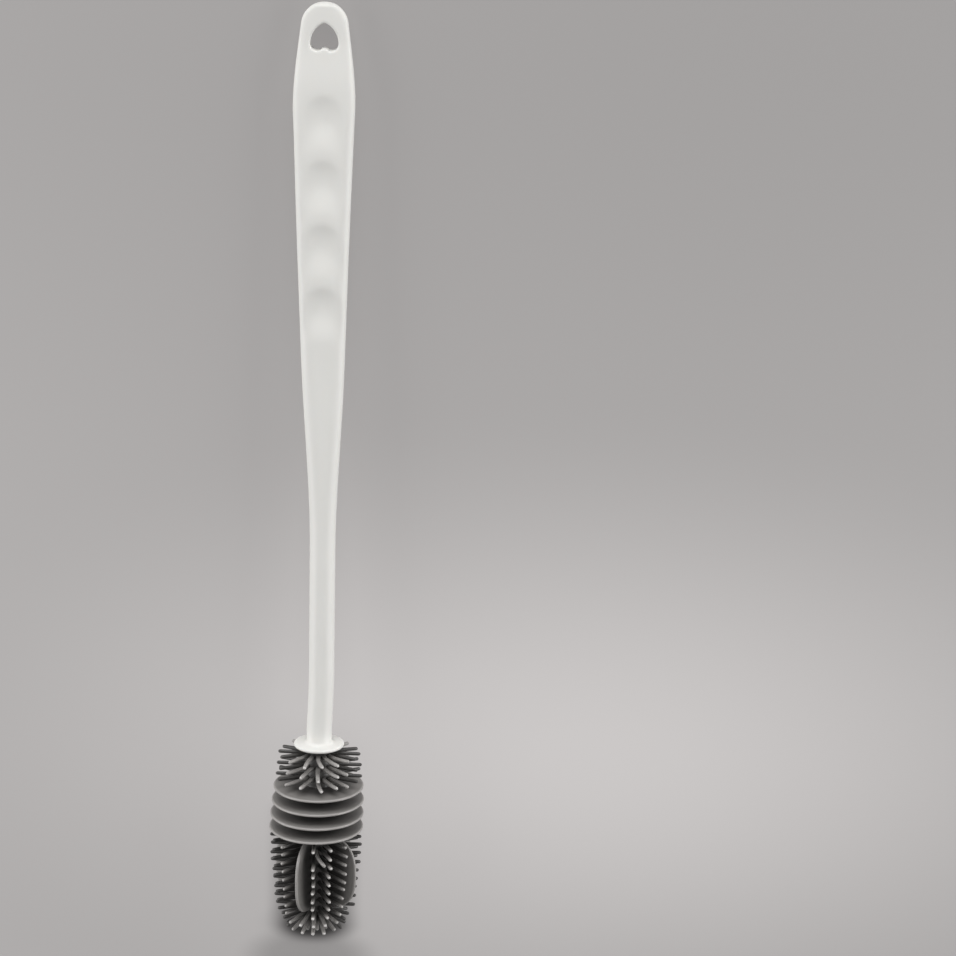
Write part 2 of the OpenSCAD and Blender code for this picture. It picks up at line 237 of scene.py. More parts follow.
def grip_section(h):
    ring = []
    for j in range(2 * HALF_SIDES):
        x = grip_width(h) / 2 * math.cos(math.pi * j / HALF_SIDES)
        y = 0.0 if j % HALF_SIDES == 0 else half_depth(x, h)
        ring.append((x, scoop_drop(x, h) - y if 0 < j < HALF_SIDES else y, h))
    return ring


def round_section(r, h, sides):
    return [(r * math.cos(2 * math.pi * j / sides), -r * math.sin(2 * math.pi * j / sides), h)
            for j in range(sides)]


def arc(centre, r, start, end, steps):
    """Points in radius and height, round part of a circle given in degrees."""
    angles = [math.radians(mix(start, end, i / steps)) for i in range(steps + 1)]
    return [(centre[0] + r * math.cos(a), centre[1] + r * math.sin(a)) for a in angles]


def evenly(low, high, step):
    count = max(1, round((high - low) / step))
    return [mix(low, high, i / count) for i in range(count)]


def spigot_outline(gap):
    """Radius and height up the barbed spigot, or up the bore round it, a gap wider."""
    r = SPIGOT_R + gap
    foot = HEAD_H - SPIGOT_LEN
    points = [(r - SPIGOT_CHAMFER, foot - gap), (r, foot - gap + SPIGOT_CHAMFER)]
    for i in range(BARB_COUNT):
        top = foot + (i + 1) * SPIGOT_LEN / (BARB_COUNT + 1)
        points += [(r, top - BARB_RAMP), (r + BARB_H, top + gap), (r, top + gap)]
    return points + [(r, HEAD_H)]


def bridge(bm, lower, upper):
    n = len(lower)
    for j in range(n):
        bm.faces.new((lower[j], lower[(j + 1) % n], upper[(j + 1) % n], upper[j]))


def hole_patch(bm, base):
    """Front, back and wall round the hole, from the last section over the end."""
    side_steps = RIM_STEPS // 4
    right = [(grip_width(h) / 2, h) for h in
             evenly(PATCH_H, END_START_H, (END_START_H - PATCH_H) / side_steps)[1:]]
    over = [(x, END_C + z) for x, z in
            arc((0, 0), END_R, math.degrees(END_ANGLE), 180 - math.degrees(END_ANGLE), RIM_STEPS // 2)]
    left = [(-x, h) for x, h in reversed(right)]
    rim = [bm.verts.new((x, 0, h)) for x, h in right + over + left]
    middle = Vector((0, HOLE_MID_H))
    hole_edges = []
    for side in (-1, 1):
        foot = [base[j] if side < 0 else base[-j] for j in range(HALF_SIDES - 1, 0, -1)]
        outer = [base[0]] + rim + [base[HALF_SIDES]] + foot
        rings = []
        for s in range(EDGE_RINGS + FIELD_RINGS):
            ring = []
            for v in outer:
                ray = Vector((v.co.x, v.co.z)) - middle
                reach = ray.length
                ray.normalize()
                wall = hole_wall(ray)
                turn = math.pi / 2 * min(1, s / EDGE_RINGS)
                d = wall + HOLE_EDGE_R * (1 - math.cos(turn))
                if s > EDGE_RINGS:
                    d = mix(d, reach, math.sin(math.pi / 2 * (s - EDGE_RINGS) / FIELD_RINGS))
                x, h = middle + ray * d
                y = half_depth(x, h) - HOLE_EDGE_R * (1 - math.sin(turn))
                ring.append(bm.verts.new((x, side * y, h)))
            rings.append(ring)
        for lower, upper in zip(rings, rings[1:] + [outer]):
            bridge(bm, lower, upper)
        hole_edges.append(rings[0])
    walls = [[bm.verts.new(f.co.lerp(b.co, s / WALL_RINGS)) for f, b in zip(*hole_edges)]
             for s in range(1, WALL_RINGS)]
    walls = [hole_edges[0]] + walls + [hole_edges[1]]
    for lower, upper in zip(walls, walls[1:]):
        bridge(bm, lower, upper)


def bow(h):
    """How far the long shaft, which is not quite straight, strays to one side."""
    return BOW * ease((BOW_END_H - h) / BOW_UPPER) * ease((h - HEAD_H - COLLAR_T) / BOW_LOWER)


def handle_mesh():
    bm = bmesh.new()
    rim = COLLAR_T / 2
    fillet = SHAFT_R + COLLAR_FILLET
    turned = (spigot_outline(0)
              + arc((COLLAR_R - rim, HEAD_H + rim), rim, -90, 90, 8)
              + arc((fillet, HEAD_H + COLLAR_T + COLLAR_FILLET), COLLAR_FILLET, -90, -180, 8))
    turned += [(SHAFT_R, h) for h in evenly(turned[-1][1], NECK_H, SHAFT_STEP)[1:]]
    rows = [round_section(r, h, 2 * HALF_SIDES) for r, h in turned]
    scoops_low = SCOOP_TOP_H - (SCOOP_COUNT - 1) * SCOOP_PITCH - SCOOP_LEN - SCOOP_MARGIN
    for low, high, step in ((NECK_H, scoops_low, NECK_STEP), (scoops_low, SCOOP_TOP_H, SCOOP_STEP),
                            (SCOOP_TOP_H, PATCH_H, CROWN_STEP)):
        rows += [grip_section(h) for h in evenly(low, high, step)]
    rows.append(grip_section(PATCH_H))
    rings = [[bm.verts.new(co) for co in row] for row in rows]
    for lower, upper in zip(rings, rings[1:]):
        bridge(bm, lower, upper)
    bm.faces.new(rings[0])
    hole_patch(bm, rings[-1])
    depth = bm.verts.layers.float.new("depth")
    for v in bm.verts:
        v[depth] = v.co.y
        v.co.x += bow(v.co.z)
    bmesh.ops.recalc_face_normals(bm, faces=bm.faces)
    mesh = bpy.data.meshes.new("handle_moulding")
    bm.to_mesh(mesh)
    bm.free()
    return mesh


def laid_piece(mesh, name, crease):
    """An object of an upright mesh, laid in the frame, riding on the brush's one body."""
    mesh.transform(LAID)
    mesh.shade_smooth()
    mesh.set_sharp_from_angle(angle=math.radians(crease))
    piece = bpy.data.objects.new(name, mesh)
    bpy.context.scene.collection.objects.link(piece)
    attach(piece, "root")
    return piece


def add_node(tree, kind, sockets=None, **settings):
    """Adds a node, with its sockets wired to other sockets or given plain values."""
    made = tree.nodes.new(kind)
    for name, value in settings.items():
        setattr(made, name, value)
    for name, value in (sockets or {}).items():
        if isinstance(value, bpy.types.NodeSocket):
            tree.links.new(value, made.inputs[name])
        else:
            made.inputs[name].default_value = value
    return made


def new_finish(name, **sockets):
    """A material and its Principled shader, with that shader's plain values."""
    material = bpy.data.materials.new(name)
    material.use_nodes = True
    surface = material.node_tree.nodes["Principled BSDF"]
    for socket, value in sockets.items():
        surface.inputs[socket.replace("_", " ")].default_value = value
    return material, material.node_tree, surface


def moulded_skin_group():
    """Fine grain and slow unevenness of a moulded skin, in object coordinates."""
    group = bpy.data.node_groups.new("moulded_skin", "ShaderNodeTree")
    for name, value in (("Grain Size", 0.0006), ("Cloud Size", 0.02)):
        socket = group.interface.new_socket(name, in_out="INPUT", socket_type="NodeSocketFloat")
        socket.default_value = value
    for name in ("Grain", "Cloud"):
        group.interface.new_socket(name, in_out="OUTPUT", socket_type="NodeSocketFloat")
    given = add_node(group, "NodeGroupInput")
    place = add_node(group, "ShaderNodeTexCoord")
    out = add_node(group, "NodeGroupOutput")
    for size, result, detail in (("Grain Size", "Grain", 3.0), ("Cloud Size", "Cloud", 2.0)):
        scale = add_node(group, "ShaderNodeMath", {0: 1.0, 1: given.outputs[size]}, operation="DIVIDE")
        noise = add_node(group, "ShaderNodeTexNoise", {
            "Vector": place.outputs["Object"], "Scale": scale.outputs[0], "Detail": detail})
        group.links.new(noise.outputs[0], out.inputs[result])
    return group


moulded_skin = moulded_skin_group()

white_plastic, tree, surface = new_finish(
    "white_polypropylene", Subsurface_Weight=0.12, Subsurface_Radius=(1, 0.9, 0.8),
    Subsurface_Scale=0.0015)
skin = add_node(tree, "ShaderNodeGroup", node_tree=moulded_skin)
tint = add_node(tree, "ShaderNodeMix", {
    "Factor": skin.outputs["Cloud"], "A": (0.75, 0.744, 0.716, 1), "B": (0.78, 0.774, 0.746, 1)},
    data_type="RGBA")
tree.links.new(tint.outputs["Result"], surface.inputs["Base Color"])
sheen = add_node(tree, "ShaderNodeMapRange", {
    "Value": skin.outputs["Cloud"], "To Min": 0.5, "To Max": 0.6})
tree.links.new(sheen.outputs[0], surface.inputs["Roughness"])
# The seam where the mould's halves met, half-way through the handle's thickness
depth = add_node(tree, "ShaderNodeAttribute", attribute_name="depth").outputs["Fac"]
seam = add_node(tree, "ShaderNodeMath", {0: depth}, operation="ABSOLUTE")
seam = add_node(tree, "ShaderNodeMapRange", {
    "Value": seam.outputs[0], "From Min": 0.05, "From Max": 0.25, "To Min": SEAM, "To Max": 0.0})
height = add_node(tree, "ShaderNodeMath", {0: skin.outputs["Grain"], 1: seam.outputs[0]}, operation="ADD")
bump = add_node(tree, "ShaderNodeBump", {
    "Height": height.outputs[0], "Strength": 0.12, "Distance": 0.00006})
tree.links.new(bump.outputs[0], surface.inputs["Normal"])

handle = laid_piece(handle_mesh(), "handle_moulding", 42)
handle.data.materials.append(white_plastic)
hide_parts("handle")

# ---- Brush head ---------------------------------------------------------
# One soft moulding of dark grey elastomer, pushed on to the spigot as far as the
# collar: a domed sleeve with scraper discs round its middle, four upright blades
# below them, and rings of tapered bristles above, between and beneath.
SLEEVE_TOP_R = 5
SLEEVE_END_R = 4.4
FIT_GAP = 0.1
DOME_H = 7.4
STATIONS = 16
TOP_RINGS = 3
TOP_PITCH = 4.05
TOP_GAP = 2.7
TOP_TIP_R = 14
RING_TO_DISC = 3.9
DISC_COUNT = 4
DISC_PITCH = 5
DISC_RIM_T = 0.9
DISC_ROOT_T = 1.6
DISC_ROOT_FILLET = 0.5
BELLY_R = 16.2
DISC_TO_RING = 3.59
SIDE_RINGS = 9
SIDE_PITCH = 3.2
SIDE_TIP_R = 16
TAIL_TIP_R = 13.6
BLADE_COUNT = 4
BLADE_STATION = -1        # one station to the left of the front
BLADE_DROP = 2.6          # from the lowest disc down to a blade
BLADE_LEN = 27
BLADE_R = 15.5
BLADE_ROOT_R = 3.6
BLADE_SQUARE = 2.6
BLADE_T = 1.1
BLADE_EDGE_T = 0.9
BLADE_ROWS = 40
FIRST_RING_H = HEAD_H - TOP_GAP
LAST_RING_H = FIRST_RING_H - (TOP_RINGS - 1) * TOP_PITCH
FIRST_DISC_H = LAST_RING_H - RING_TO_DISC
BELLY_H = FIRST_DISC_H - (DISC_COUNT - 1) * DISC_PITCH
SIDE_TOP_H = BELLY_H - DISC_TO_RING
TAIL_H = SIDE_TOP_H - (SIDE_RINGS - 1) * SIDE_PITCH
SPLAYED_RINGS = (         # degrees below level, reach, count, turn in degrees
    (13, 12.2, STATIONS, 0),
    (31, 12.2, STATIONS, 0),
    (55, 8.8, 8, 180 / STATIONS),
    (90, DOME_H, 1, 0),
)
ROOT_DEPTH = 0.65         # how far a bristle starts inside the sleeve
BRISTLE_ROOT_R = 0.8
BRISTLE_TIP_R = 0.63
TURN_STEPS = 96
# The soft lower half has taken a slight set to one side
SET_ASIDE = -0.8
SET_START_H = 56
SET_SPAN = 22


def barrel_r(h):
    return BELLY_R - (BELLY_R - TOP_TIP_R) * ((h - BELLY_H) / (FIRST_RING_H - BELLY_H)) ** 2


def side_r(h):
    return SIDE_TIP_R - (SIDE_TIP_R - TAIL_TIP_R) * ((BELLY_H - h) / (BELLY_H - TAIL_H)) ** 2


def sleeve_r(h):
    return mix(SLEEVE_END_R, SLEEVE_TOP_R, (h - DOME_H) / (HEAD_H - DOME_H))


def set_aside(mesh):
    """Leans an upright mesh of the head by the set that the moulding has taken."""
    for v in mesh.vertices:
        v.co.x += SET_ASIDE * ease((SET_START_H - v.co.z) / SET_SPAN)


def sleeve_outline():
    """Radius, height and share of painted light round the sleeve's section, from the dome to the bore."""
    points = [(r, h, 0) for r, h in arc((0, DOME_H), SLEEVE_END_R, -90, 0, 8)[1:]]
    for i in range(DISC_COUNT):
        h = BELLY_H + i * DISC_PITCH
        r, rim, fillet = barrel_r(h), DISC_RIM_T / 2, DISC_ROOT_FILLET
        root, half = sleeve_r(h), DISC_ROOT_T / 2
        under = arc((root + fillet, h - half - fillet), fillet, 180, 90, 4)
        under += [(mix(root + fillet, r - rim, s), mix(h - half, h - rim, s)) for s in (0.3, 0.6, 0.85)]
        over = [(x, 2 * h - z) for x, z in reversed(under)]
        # Painted light: each disc turns paler towards its rim, as a painted highlight, and darker towards
        # its root, as painted shade between the discs.
        points += [(x, z, 0.96 * (x - root) / (r - root))
                   for x, z in under + arc((r - rim, h), rim, -90, 90, 8) + over]
    points.append((SLEEVE_TOP_R - 0.3, HEAD_H - 0.02, 0))
    points += [(r, h, 0) for r, h in reversed(spigot_outline(FIT_GAP))]
    return points


def blade_rows(az):
    """Rows of points over one blade: down one face from root to edge, and back."""
    mid_h = BELLY_H - BLADE_DROP - BLADE_LEN / 2
    span = BLADE_R - BLADE_ROOT_R
    out = Vector((math.sin(az), -math.cos(az), 0))
    aside = Vector((math.cos(az), math.sin(az), 0))
    rows = []
    for i in range(BLADE_ROWS + 1):
        a = math.pi * (i / BLADE_ROWS - 0.5)
        power = 2 / BLADE_SQUARE
        edge = Vector((BLADE_ROOT_R + span * abs(math.cos(a)) ** power,
                       mid_h + BLADE_LEN / 2 * math.copysign(abs(math.sin(a)) ** power, a)))
        root = Vector((BLADE_ROOT_R, mix(edge.y, mid_h, 0.15)))
        width = max((edge - root).length, 0.001)
        half_edge = BLADE_EDGE_T / 2
        row = []
        for s, round_over in [(u, 90) for u in (0, 0.2, 0.4, 0.6, 0.8)] + [
                (1, q) for q in (90, 72, 54, 36, 18, 0)]:
            inset = half_edge * (1 - math.cos(math.radians(round_over)))
            at = root.lerp(edge, s * max(0, 1 - inset / width))
            half = mix(BLADE_T / 2, half_edge, s) * math.sin(math.radians(round_over))
            # Painted light: each blade turns paler towards its edge, as a painted highlight, and darker
            # towards its root, as painted shade.
            row.append((out * at.x + Vector((0, 0, at.y)), aside * half, 0.94 * s**1.5))
        rows.append(row)
    return rows


def head_core_mesh():
    bm = bmesh.new()
    # A share of painted light on each point, for the rubber's painted highlights and painted shade.
    painted_light = bm.verts.layers.float.new("painted_light")

    def vert(co, share):
        v = bm.verts.new(co)
        v[painted_light] = share
        return v

    rings = [[vert(co, share) for co in round_section(r, h, TURN_STEPS)]
             for r, h, share in sleeve_outline()]
    for lower, upper in zip(rings, rings[1:]):
        bridge(bm, lower, upper)
    for ring, h in ((rings[0], DOME_H - SLEEVE_END_R), (rings[-1], rings[-1][0].co.z)):
        pole = vert((0, 0, h), 0)
        for a, b in zip(ring, ring[1:] + ring[:1]):
            bm.faces.new((pole, a, b))
    for i in range(BLADE_COUNT):
        az = 2 * math.pi * (BLADE_STATION / STATIONS + i / BLADE_COUNT)
        grid = []
        for row in blade_rows(az):
            near = [vert(mid - half, share) for mid, half, share in row]
            far = [vert(mid + half, share) for mid, half, share in row[:-1]]
            grid.append(near + far[::-1])
        for lower, upper in zip(grid, grid[1:]):
            bridge(bm, lower, upper)
        bm.faces.new(grid[0])
        bm.faces.new(grid[-1])
    bmesh.ops.recalc_face_normals(bm, faces=bm.faces)
    mesh = bpy.data.meshes.new("head_core")
    bm.to_mesh(mesh)
    bm.free()
    set_aside(mesh)
    return mesh


# Bristles that use has bent: (row, station): how far the tip has gone, in mm
BENT = {
    ("top", 0, 0): (2.2, 0.3, -0.2),
    ("top", 0, 1): (2.2, 0.4, 0.2),
    ("top", 0, -1): (0.9, 0, -0.9),
    ("top", 0, 2): (0.9, 0, 0.9),
    ("top", 1, 0): (0.9, 0, -0.9),
    ("top", 1, 1): (1.7, 0.3, 0.3),
    ("top", 2, 0): (1.8, 0.2, -0.4),
    ("top", 2, 1): (1.3, 0.3, 0.2),
    ("side", 1, 0): (4.0, 2.4, -3.2),
}

# How late along its length a bristle turns pale, where 1 is evenly, and how pale the tips get at the front
# and back and at the two sides.
# The paleness is painted light: painted highlights on stalks and tips, kept dark as painted shade on
# bristles pointing to the sides.
PALE_POWER = {"top": 0.2, "side": 5, "splayed": 1, "bent": 0.6}
PALE_FRONT = 1
PALE_SIDE = 0.3


def bristle_roots():
    """A point for each bristle's root, with its aim, its length, its bend and its paleness, which is painted
    light.
    """
    roots = []

    def plant(key, az, h, start, reach, down=0.0):
        aim = Vector((math.sin(az) * math.cos(down), -math.cos(az) * math.cos(down), -math.sin(down)))
        # Painted light: bristles pointing front and back get pale painted highlights, and those pointing to
        # the sides stay dark as painted shade.
        pale = mix(PALE_SIDE, PALE_FRONT, ease((abs(math.cos(az)) - 0.3) / 0.45))
        roots.append((Vector((0, 0, h)) + aim * start, aim, reach - start,
                      Vector(BENT.get(key, (0, 0, 0))),
                      PALE_POWER["bent" if key in BENT and key[0] == "side" else key[0]], pale))

    for station in range(-STATIONS // 2 + 1, STATIONS // 2 + 1):
        az = 2 * math.pi * station / STATIONS
        for i in range(TOP_RINGS):
            h = FIRST_RING_H - i * TOP_PITCH
            plant(("top", i, station), az, h, sleeve_r(h) - ROOT_DEPTH, barrel_r(h))
        if (station - BLADE_STATION) % (STATIONS // BLADE_COUNT) == 0:
            continue
        for i in range(SIDE_RINGS):
            h = SIDE_TOP_H - i * SIDE_PITCH
            plant(("side", i, station), az, h, sleeve_r(h) - ROOT_DEPTH, side_r(h))
    for ring, (down, reach, count, turn) in enumerate(SPLAYED_RINGS):
        for i in range(count):
            plant(("splayed", ring, i), math.radians(turn + i * 360 / count), DOME_H,
                  SLEEVE_END_R - ROOT_DEPTH, reach, math.radians(down))
    mesh = bpy.data.meshes.new("bristle_roots")
    mesh.from_pydata([root[0] for root in roots], [], [])
    for name, kind, column in (("aim", "FLOAT_VECTOR", 1), ("reach", "FLOAT", 2),
                               ("bent", "FLOAT_VECTOR", 3), ("pale_power", "FLOAT", 4),
                               ("pale", "FLOAT", 5)):
        attribute = mesh.attributes.new(name, kind, "POINT")
        for slot, root in zip(attribute.data, roots):
            if kind == "FLOAT":
                slot.value = root[column]
            else:
                slot.vector = root[column]
    return mesh


def bristle_tree():
    """Grows a tapered, round-tipped bristle on each root, bent by its own amount."""
    tree = bpy.data.node_groups.new("grow_bristles", "GeometryNodeTree")
    face = tree.interface
    face.new_socket("Roots", in_out="INPUT", socket_type="NodeSocketGeometry")
    for name, kind, value in (
            ("Root Radius", "Float", BRISTLE_ROOT_R), ("Tip Radius", "Float", BRISTLE_TIP_R),
            ("Root Flare", "Float", 0.15), ("Waver", "Float", 0.3), ("Rings", "Int", 10),
            ("Sides", "Int", 8), ("Seed", "Int", 4), ("Finish", "Material", None)):
        socket = face.new_socket(name, in_out="INPUT", socket_type="NodeSocket" + kind)
        if value is not None:
            socket.default_value = value
    face.new_socket("Bristles", in_out="OUTPUT", socket_type="NodeSocketGeometry")
    given = add_node(tree, "NodeGroupInput").outputs

    def maths(operation, a, b=0.0):
        return add_node(tree, "ShaderNodeMath", {0: a, 1: b}, operation=operation).outputs[0]

    def named(name, kind):
        return add_node(tree, "GeometryNodeInputNamedAttribute", {"Name": name}, data_type=kind).outputs[0]

    # A straight line of unit length, with its points crowded towards the tip
    line = add_node(tree, "GeometryNodeCurvePrimitiveLine", {"End": (0, 0, 1)})
    line = add_node(tree, "GeometryNodeResampleCurve", {"Curve": line.outputs[0], "Count": given["Rings"]})
    along = add_node(tree, "GeometryNodeSplineParameter").outputs["Factor"]
    crowded = maths("SUBTRACT", 1.0, maths("POWER", maths("SUBTRACT", 1.0, along), 3.0))
    unit_stalk = add_node(tree, "GeometryNodeSetPosition", {
        "Geometry": line.outputs[0],
        "Position": add_node(tree, "ShaderNodeCombineXYZ", {"Z": crowded}).outputs[0]})
    waver = add_node(tree, "FunctionNodeRandomValue", {
        "Min": (-1, -1, -1), "Max": (1, 1, 1), "Seed": given["Seed"]}, data_type="FLOAT_VECTOR")
    waver = add_node(tree, "ShaderNodeVectorMath", {
        0: waver.outputs[0], "Scale": given["Waver"]}, operation="SCALE")
    bend = add_node(tree, "ShaderNodeVectorMath", {
        0: named("bent", "FLOAT_VECTOR"), 1: waver.outputs[0]}, operation="ADD")
    roots = add_node(tree, "GeometryNodeStoreNamedAttribute", {
        "Geometry": given["Roots"], "Name": "bend", "Value": bend.outputs[0]}, data_type="FLOAT_VECTOR")
    turn = add_node(tree, "FunctionNodeAlignRotationToVector", {
        "Vector": named("aim", "FLOAT_VECTOR")}, axis="Z")
    stretch = add_node(tree, "ShaderNodeCombineXYZ", {"X": 1.0, "Y": 1.0, "Z": named("reach", "FLOAT")})
    grown = add_node(tree, "GeometryNodeInstanceOnPoints", {
        "Points": roots.outputs[0], "Instance": unit_stalk.outputs[0],
        "Rotation": turn.outputs[0], "Scale": stretch.outputs[0]})
    grown = add_node(tree, "GeometryNodeRealizeInstances", {"Geometry": grown.outputs[0]})
    lean = add_node(tree, "ShaderNodeVectorMath", {
        0: named("bend", "FLOAT_VECTOR"), "Scale": maths("POWER", along, 2.0)}, operation="SCALE")
    grown = add_node(tree, "GeometryNodeSetPosition", {
        "Geometry": grown.outputs[0], "Offset": lean.outputs[0]})
    to_tip = maths("MULTIPLY", maths("SUBTRACT", 1.0, along), named("reach", "FLOAT"))
    # Painted highlights: the share of painted light grows along each stalk, is full at the rounded tip, and
    # is scaled by the bristle's facing.
    tip = add_node(tree, "ShaderNodeMapRange", {
        "Value": to_tip, "From Min": 0.35, "From Max": 0.65, "To Min": 1.0, "To Max": 0.0}).outputs[0]
    stalk = add_node(tree, "ShaderNodeMapRange", {
        "Value": maths("POWER", along, named("pale_power", "FLOAT")),
        "To Min": 0.3, "To Max": 0.97}).outputs[0]
    painted_light = maths("MULTIPLY", maths("MAXIMUM", stalk, tip), named("pale", "FLOAT"))
    grown = add_node(tree, "GeometryNodeStoreNamedAttribute", {
        "Geometry": grown.outputs[0], "Name": "painted_light", "Value": painted_light}, data_type="FLOAT")

    # Tapered from root to tip, flared at the root and rounded over at the tip
    taper = add_node(tree, "ShaderNodeMapRange", {
        "Value": along, "To Min": given["Root Radius"], "To Max": given["Tip Radius"]}).outputs[0]
    flare = add_node(tree, "ShaderNodeMapRange", {
        "Value": along, "From Max": 0.3, "To Min": given["Root Flare"], "To Max": 0.0}).outputs[0]
    cap = maths("MINIMUM", maths("DIVIDE", to_tip, given["Tip Radius"]), 1.0)
    rounding = maths("SQRT", maths("MULTIPLY", cap, maths("SUBTRACT", 2.0, cap)))
    grown = add_node(tree, "GeometryNodeSetCurveRadius", {
        "Curve": grown.outputs[0], "Radius": maths("MULTIPLY", maths("ADD", taper, flare), rounding)})
    section = add_node(tree, "GeometryNodeCurvePrimitiveCircle", {
        "Resolution": given["Sides"], "Radius": 1.0})
    skin = add_node(tree, "GeometryNodeCurveToMesh", {
        "Curve": grown.outputs[0], "Profile Curve": section.outputs[0], "Fill Caps": True})
    if "Scale" in skin.inputs:
        tree.links.new(add_node(tree, "GeometryNodeInputRadius").outputs[0], skin.inputs["Scale"])
    closed = add_node(tree, "GeometryNodeMergeByDistance", {"Geometry": skin.outputs[0], "Distance": 0.004})
    done = add_node(tree, "GeometryNodeRealizeInstances", {"Geometry": closed.outputs[0]})
    done = add_node(tree, "GeometryNodeSetMaterial", {
        "Geometry": done.outputs[0], "Material": given["Finish"]})
    add_node(tree, "NodeGroupOutput", {"Bristles": done.outputs[0]})
    return tree


grey_rubber, tree, surface = new_finish("grey_elastomer", Roughness=0.4, Specular_IOR_Level=0.5)
skin = add_node(tree, "ShaderNodeGroup", {"Grain Size": 0.0004, "Cloud Size": 0.008}, node_tree=moulded_skin)
painted_light = add_node(tree, "ShaderNodeAttribute", attribute_name="painted_light").outputs["Fac"]
base = add_node(tree, "ShaderNodeMix", {
    "Factor": skin.outputs["Cloud"], "A": (0.041, 0.0387, 0.037, 1), "B": (0.062, 0.0586, 0.0563, 1)},
    data_type="RGBA").outputs["Result"]
# Painted light and shade: the rubber turns paler with its share of painted light, as painted highlights on
# disc rims, blade edges and bristle stalks and tips, and stays dark towards the roots as painted shade.
for start, end, colour in ((0.3, 0.8, (0.22, 0.21, 0.201, 1)), (0.88, 0.95, (0.33, 0.317, 0.306, 1)),
                           (0.97, 1.0, (0.6, 0.585, 0.57, 1))):
    paler = add_node(tree, "ShaderNodeMapRange", {
        "Value": painted_light, "From Min": start, "From Max": end}, interpolation_type="SMOOTHSTEP")
    base = add_node(tree, "ShaderNodeMix", {
        "Factor": paler.outputs[0], "A": base, "B": colour}, data_type="RGBA").outputs["Result"]
tree.links.new(base, surface.inputs["Base Color"])
bump = add_node(tree, "ShaderNodeBump", {
    "Height": skin.outputs["Grain"], "Strength": 0.15, "Distance": 0.00005})
tree.links.new(bump.outputs[0], surface.inputs["Normal"])

head_core = laid_piece(head_core_mesh(), "head_core", 45)
head_core.data.materials.append(grey_rubber)
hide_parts("brush_head")

seeded = bpy.data.objects.new("bristle_roots", bristle_roots())
bpy.context.scene.collection.objects.link(seeded)
grow = seeded.modifiers.new("grow_bristles", "NODES")
grow.node_group = bristle_tree()
for item in grow.node_group.interface.items_tree:
    if item.name == "Finish":
        grow[item.identifier] = grey_rubber
bpy.context.view_layer.update()
grown = bpy.data.meshes.new_from_object(seeded.evaluated_get(bpy.context.evaluated_depsgraph_get()))
bpy.data.objects.remove(seeded)
set_aside(grown)
bristles = laid_piece(grown, "head_bristles", 60)
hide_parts("brush_head")

# ---- Floor --------------------------------------------------------------
# A plain, pale grey studio sweep. The camera sees mostly its own soft tone, with painted light and shade in
# it: a painted pool of light beside the head, a painted falloff of light along and across it, and a painted
# shadow dark close under the tip; and a faint part of real shadows.
FLOOR_HALF = 5
# Painted light falloff in the floor's own tone: darker from the head towards the handle's end, and from left
# to right.
NEAR_GREY = 0.42          # its tone by the head and past the handle's end
FAR_GREY = 0.36
NEAR_AT = -0.05
FAR_AT = 0.15
# A painted pool of light on the floor, beside the head.
GLOW_PLACE = (0.09, -0.1, 0)
GLOW_REACH = 0.13
GLOW = 0.25
SIDE_FALL = 0.04          # how much darker it gets to the right, and lighter to the left
SIDE_REACH = 0.25
SPOT_NARROWING = 0.5      # spots are measured half as far across the brush as along it
FLOOR_WARMTH = (1.03, 0.99, 0.98)
# Painted shadows in the floor's own tone: a broad dark spot past the head's tip, a halo round the tip, and a
# strip under the head that is darkest under the tip.
SHADE_PLACE = (-0.004, -0.182, 0)
SHADE_REACH = (0.006, 0.014)          # where a spot starts to fade, and where it ends
SHADE_LEFT = 0.65                     # what is left of the floor's tone in it
HALO_REACH = (0.004, 0.011)
HALO_LEFT = 0.85
CONTACT_LOW = (-0.0034, -0.169, 0)
CONTACT_HIGH = (-0.0018, -0.125, 0)
CONTACT_REACH = (0.003, 0.0088)
CONTACT_DARK = 0.1                    # what is left under the tip
CONTACT_FAINT = 0.7                   # and under the discs
SHADOW_SHARE = 0.25                   # how much of the real shadows shows, except under the tip
UNSHADOWED_REACH = (0.004, 0.0078)

floor_mesh = bpy.data.meshes.new("floor")
floor_mesh.from_pydata([(sx * FLOOR_HALF, sy * FLOOR_HALF, 0) for sx, sy in
                        ((-1, -1), (1, -1), (1, 1), (-1, 1))], [], [(0, 1, 2, 3)])
floor = bpy.data.objects.new("floor", floor_mesh)
bpy.context.scene.collection.objects.link(floor)

floor_paint, tree, surface = new_finish("floor_paint", Roughness=0.9, Specular_IOR_Level=0.2)
surface.inputs["Base Color"].default_value = (0.46, 0.452, 0.448, 1)
place = add_node(tree, "ShaderNodeTexCoord").outputs["Object"]
sides = add_node(tree, "ShaderNodeSeparateXYZ", {0: place}).outputs
grey = add_node(tree, "ShaderNodeMapRange", {
    "Value": sides["Y"], "From Min": NEAR_AT, "From Max": FAR_AT,
    "To Min": NEAR_GREY, "To Max": FAR_GREY}, interpolation_type="SMOOTHSTEP").outputs[0]


def spot(low, high, near, far, least, most):
    """A soft spot on the floor, drawn out along the brush and twice as wide as its ends are long."""
    middle = add_node(tree, "ShaderNodeVectorMath", {0: place, 1: low}, operation="MAXIMUM")
    middle = add_node(tree, "ShaderNodeVectorMath", {0: middle.outputs[0], 1: high}, operation="MINIMUM")
    offset = add_node(tree, "ShaderNodeVectorMath", {0: place, 1: middle.outputs[0]}, operation="SUBTRACT")
    offset = add_node(tree, "ShaderNodeVectorMath", {
        0: offset.outputs[0], 1: (SPOT_NARROWING, 1, 1)}, operation="MULTIPLY")
    away = add_node(tree, "ShaderNodeVectorMath", {0: offset.outputs[0]}, operation="LENGTH")
    return add_node(tree, "ShaderNodeMapRange", {
        "Value": away.outputs["Value"], "From Min": near, "From Max": far, "To Min": most, "To Max": least},
        interpolation_type="SMOOTHSTEP").outputs[0]


